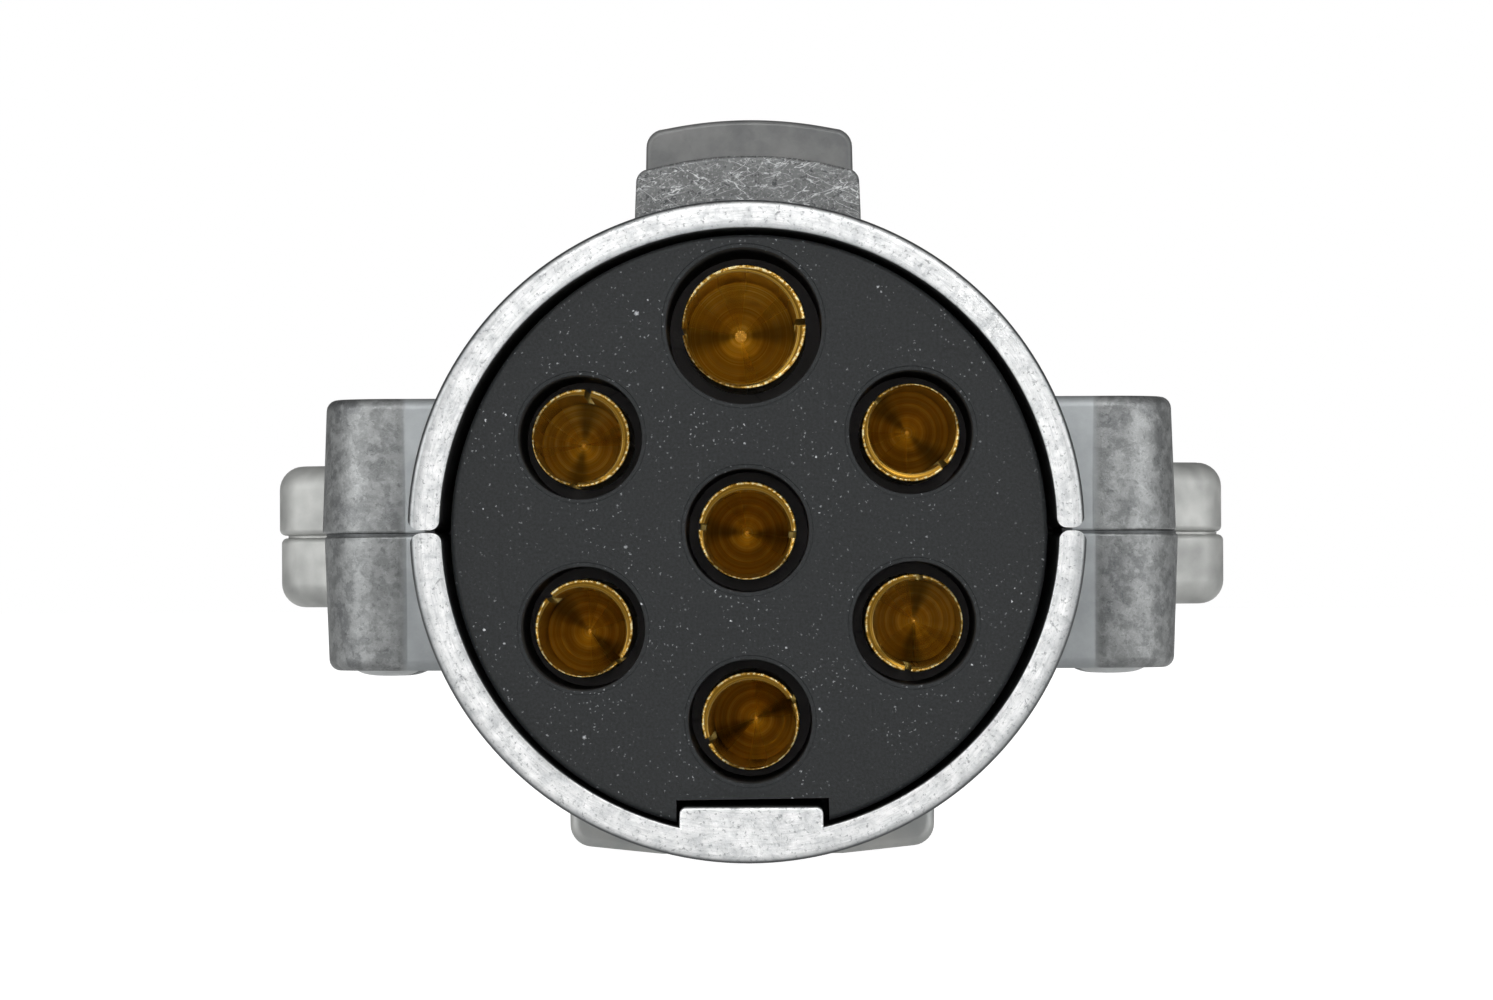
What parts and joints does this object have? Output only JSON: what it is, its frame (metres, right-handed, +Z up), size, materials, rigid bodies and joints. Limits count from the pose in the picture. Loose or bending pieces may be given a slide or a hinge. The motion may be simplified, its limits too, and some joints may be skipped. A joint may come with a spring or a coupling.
{
  "type": "trailer wiring connector",
  "caption": "Round heavy-duty trailer wiring plug: split die-cast housing with key, latch lug, ears and pull wings, moulded contact carrier, split brass sockets, cable clamp.",
  "frame": {"origin": "middle of the plug's length and width, on the plane of the thumb pad's flat underside, on which the plug stands; the mating axis runs 23.1 mm above it", "axes": "+Z up, through the key and the latch lug; -Y towards the mating face, along the mating axis; +Y towards the cable; +X to the right seen from the mating face's front"},
  "size_m": [0.071, 0.108, 0.0522],
  "materials": {
    "zinc_casting": "die-cast zinc, tumbled to a dull silver, grey and scuffed on its flanks",
    "moulded_nylon": "black glass-filled nylon, fine moulded grain",
    "brass": "turned brass, bright at the cut edges",
    "plated_steel": "zinc-plated steel",
    "rubber": "black moulded rubber"
  },
  "bodies": {
    "housing": {"upper_shell": "zinc_casting", "lower_shell": "zinc_casting", "contact_carrier": "moulded_nylon", "terminal_retainer": "moulded_nylon", "cable_grommet": "rubber", "retainer_screw_left": "plated_steel", "retainer_screw_right": "plated_steel", "front_left_screw": "plated_steel", "front_left_washer": "plated_steel", "front_right_screw": "plated_steel", "front_right_washer": "plated_steel", "rear_left_screw": "plated_steel", "rear_left_washer": "plated_steel", "rear_right_screw": "plated_steel", "rear_right_washer": "plated_steel"},
    "cable_clamp": {"cable_clamp": "zinc_casting", "clamp_left_screw": "plated_steel", "clamp_right_screw": "plated_steel", "clamp_left_washer": "plated_steel", "clamp_right_washer": "plated_steel"},
    "ground_contact": {"ground_socket": "brass"},
    "ground_set_screw": {"ground_set_screw": "plated_steel"},
    "upper_right_contact": {"upper_right_socket": "brass"},
    "upper_right_set_screw": {"upper_right_set_screw": "plated_steel"},
    "lower_right_contact": {"lower_right_socket": "brass"},
    "lower_right_set_screw": {"lower_right_set_screw": "plated_steel"},
    "bottom_contact": {"bottom_socket": "brass"},
    "bottom_set_screw": {"bottom_set_screw": "plated_steel"},
    "lower_left_contact": {"lower_left_socket": "brass"},
    "lower_left_set_screw": {"lower_left_set_screw": "plated_steel"},
    "upper_left_contact": {"upper_left_socket": "brass"},
    "upper_left_set_screw": {"upper_left_set_screw": "plated_steel"},
    "centre_contact": {"centre_socket": "brass"},
    "centre_set_screw": {"centre_set_screw": "plated_steel"}
  },
  "joints": [
    {"name": "cable_clamp_lift", "type": "slide", "parent": "housing", "child": "cable_clamp", "axis": [0, 0, 1], "range_m": [0, 0.004]},
    {"name": "ground_contact_float", "type": "slide", "parent": "housing", "child": "ground_contact", "axis": [0, 1, 0], "range_m": [-0.0003, 0.0003]},
    {"name": "ground_set_screw_travel", "type": "slide", "parent": "ground_contact", "child": "ground_set_screw", "axis": [-0.0122, 0, 0.9999], "range_m": [-0.0034, 0]},
    {"name": "upper_right_contact_float", "type": "slide", "parent": "housing", "child": "upper_right_contact", "axis": [0, 1, 0], "range_m": [-0.0003, 0.0003]},
    {"name": "upper_right_set_screw_travel", "type": "slide", "parent": "upper_right_contact", "child": "upper_right_set_screw", "axis": [0.8599, 0, 0.5105], "range_m": [-0.0028, 0]},
    {"name": "lower_right_contact_float", "type": "slide", "parent": "housing", "child": "lower_right_contact", "axis": [0, 1, 0], "range_m": [-0.0003, 0.0003]},
    {"name": "lower_right_set_screw_travel", "type": "slide", "parent": "lower_right_contact", "child": "lower_right_set_screw", "axis": [0.8721, 0, -0.4894], "range_m": [-0.0028, 0]},
    {"name": "bottom_contact_float", "type": "slide", "parent": "housing", "child": "bottom_contact", "axis": [0, 1, 0], "range_m": [-0.0003, 0.0003]},
    {"name": "bottom_set_screw_travel", "type": "slide", "parent": "bottom_contact", "child": "bottom_set_screw", "axis": [0.0122, 0, -0.9999], "range_m": [-0.0028, 0]},
    {"name": "lower_left_contact_float", "type": "slide", "parent": "housing", "child": "lower_left_contact", "axis": [0, 1, 0], "range_m": [-0.0003, 0.0003]},
    {"name": "lower_left_set_screw_travel", "type": "slide", "parent": "lower_left_contact", "child": "lower_left_set_screw", "axis": [-0.8599, 0, -0.5105], "range_m": [-0.0028, 0]},
    {"name": "upper_left_contact_float", "type": "slide", "parent": "housing", "child": "upper_left_contact", "axis": [0, 1, 0], "range_m": [-0.0003, 0.0003]},
    {"name": "upper_left_set_screw_travel", "type": "slide", "parent": "upper_left_contact", "child": "upper_left_set_screw", "axis": [-0.8721, 0, 0.4894], "range_m": [-0.0028, 0]},
    {"name": "centre_contact_float", "type": "slide", "parent": "housing", "child": "centre_contact", "axis": [0, 1, 0], "range_m": [-0.0003, 0.0003]},
    {"name": "centre_set_screw_travel", "type": "slide", "parent": "centre_contact", "child": "centre_set_screw", "axis": [0.9999, 0, 0.0122], "range_m": [-0.0028, 0]}
  ]
}
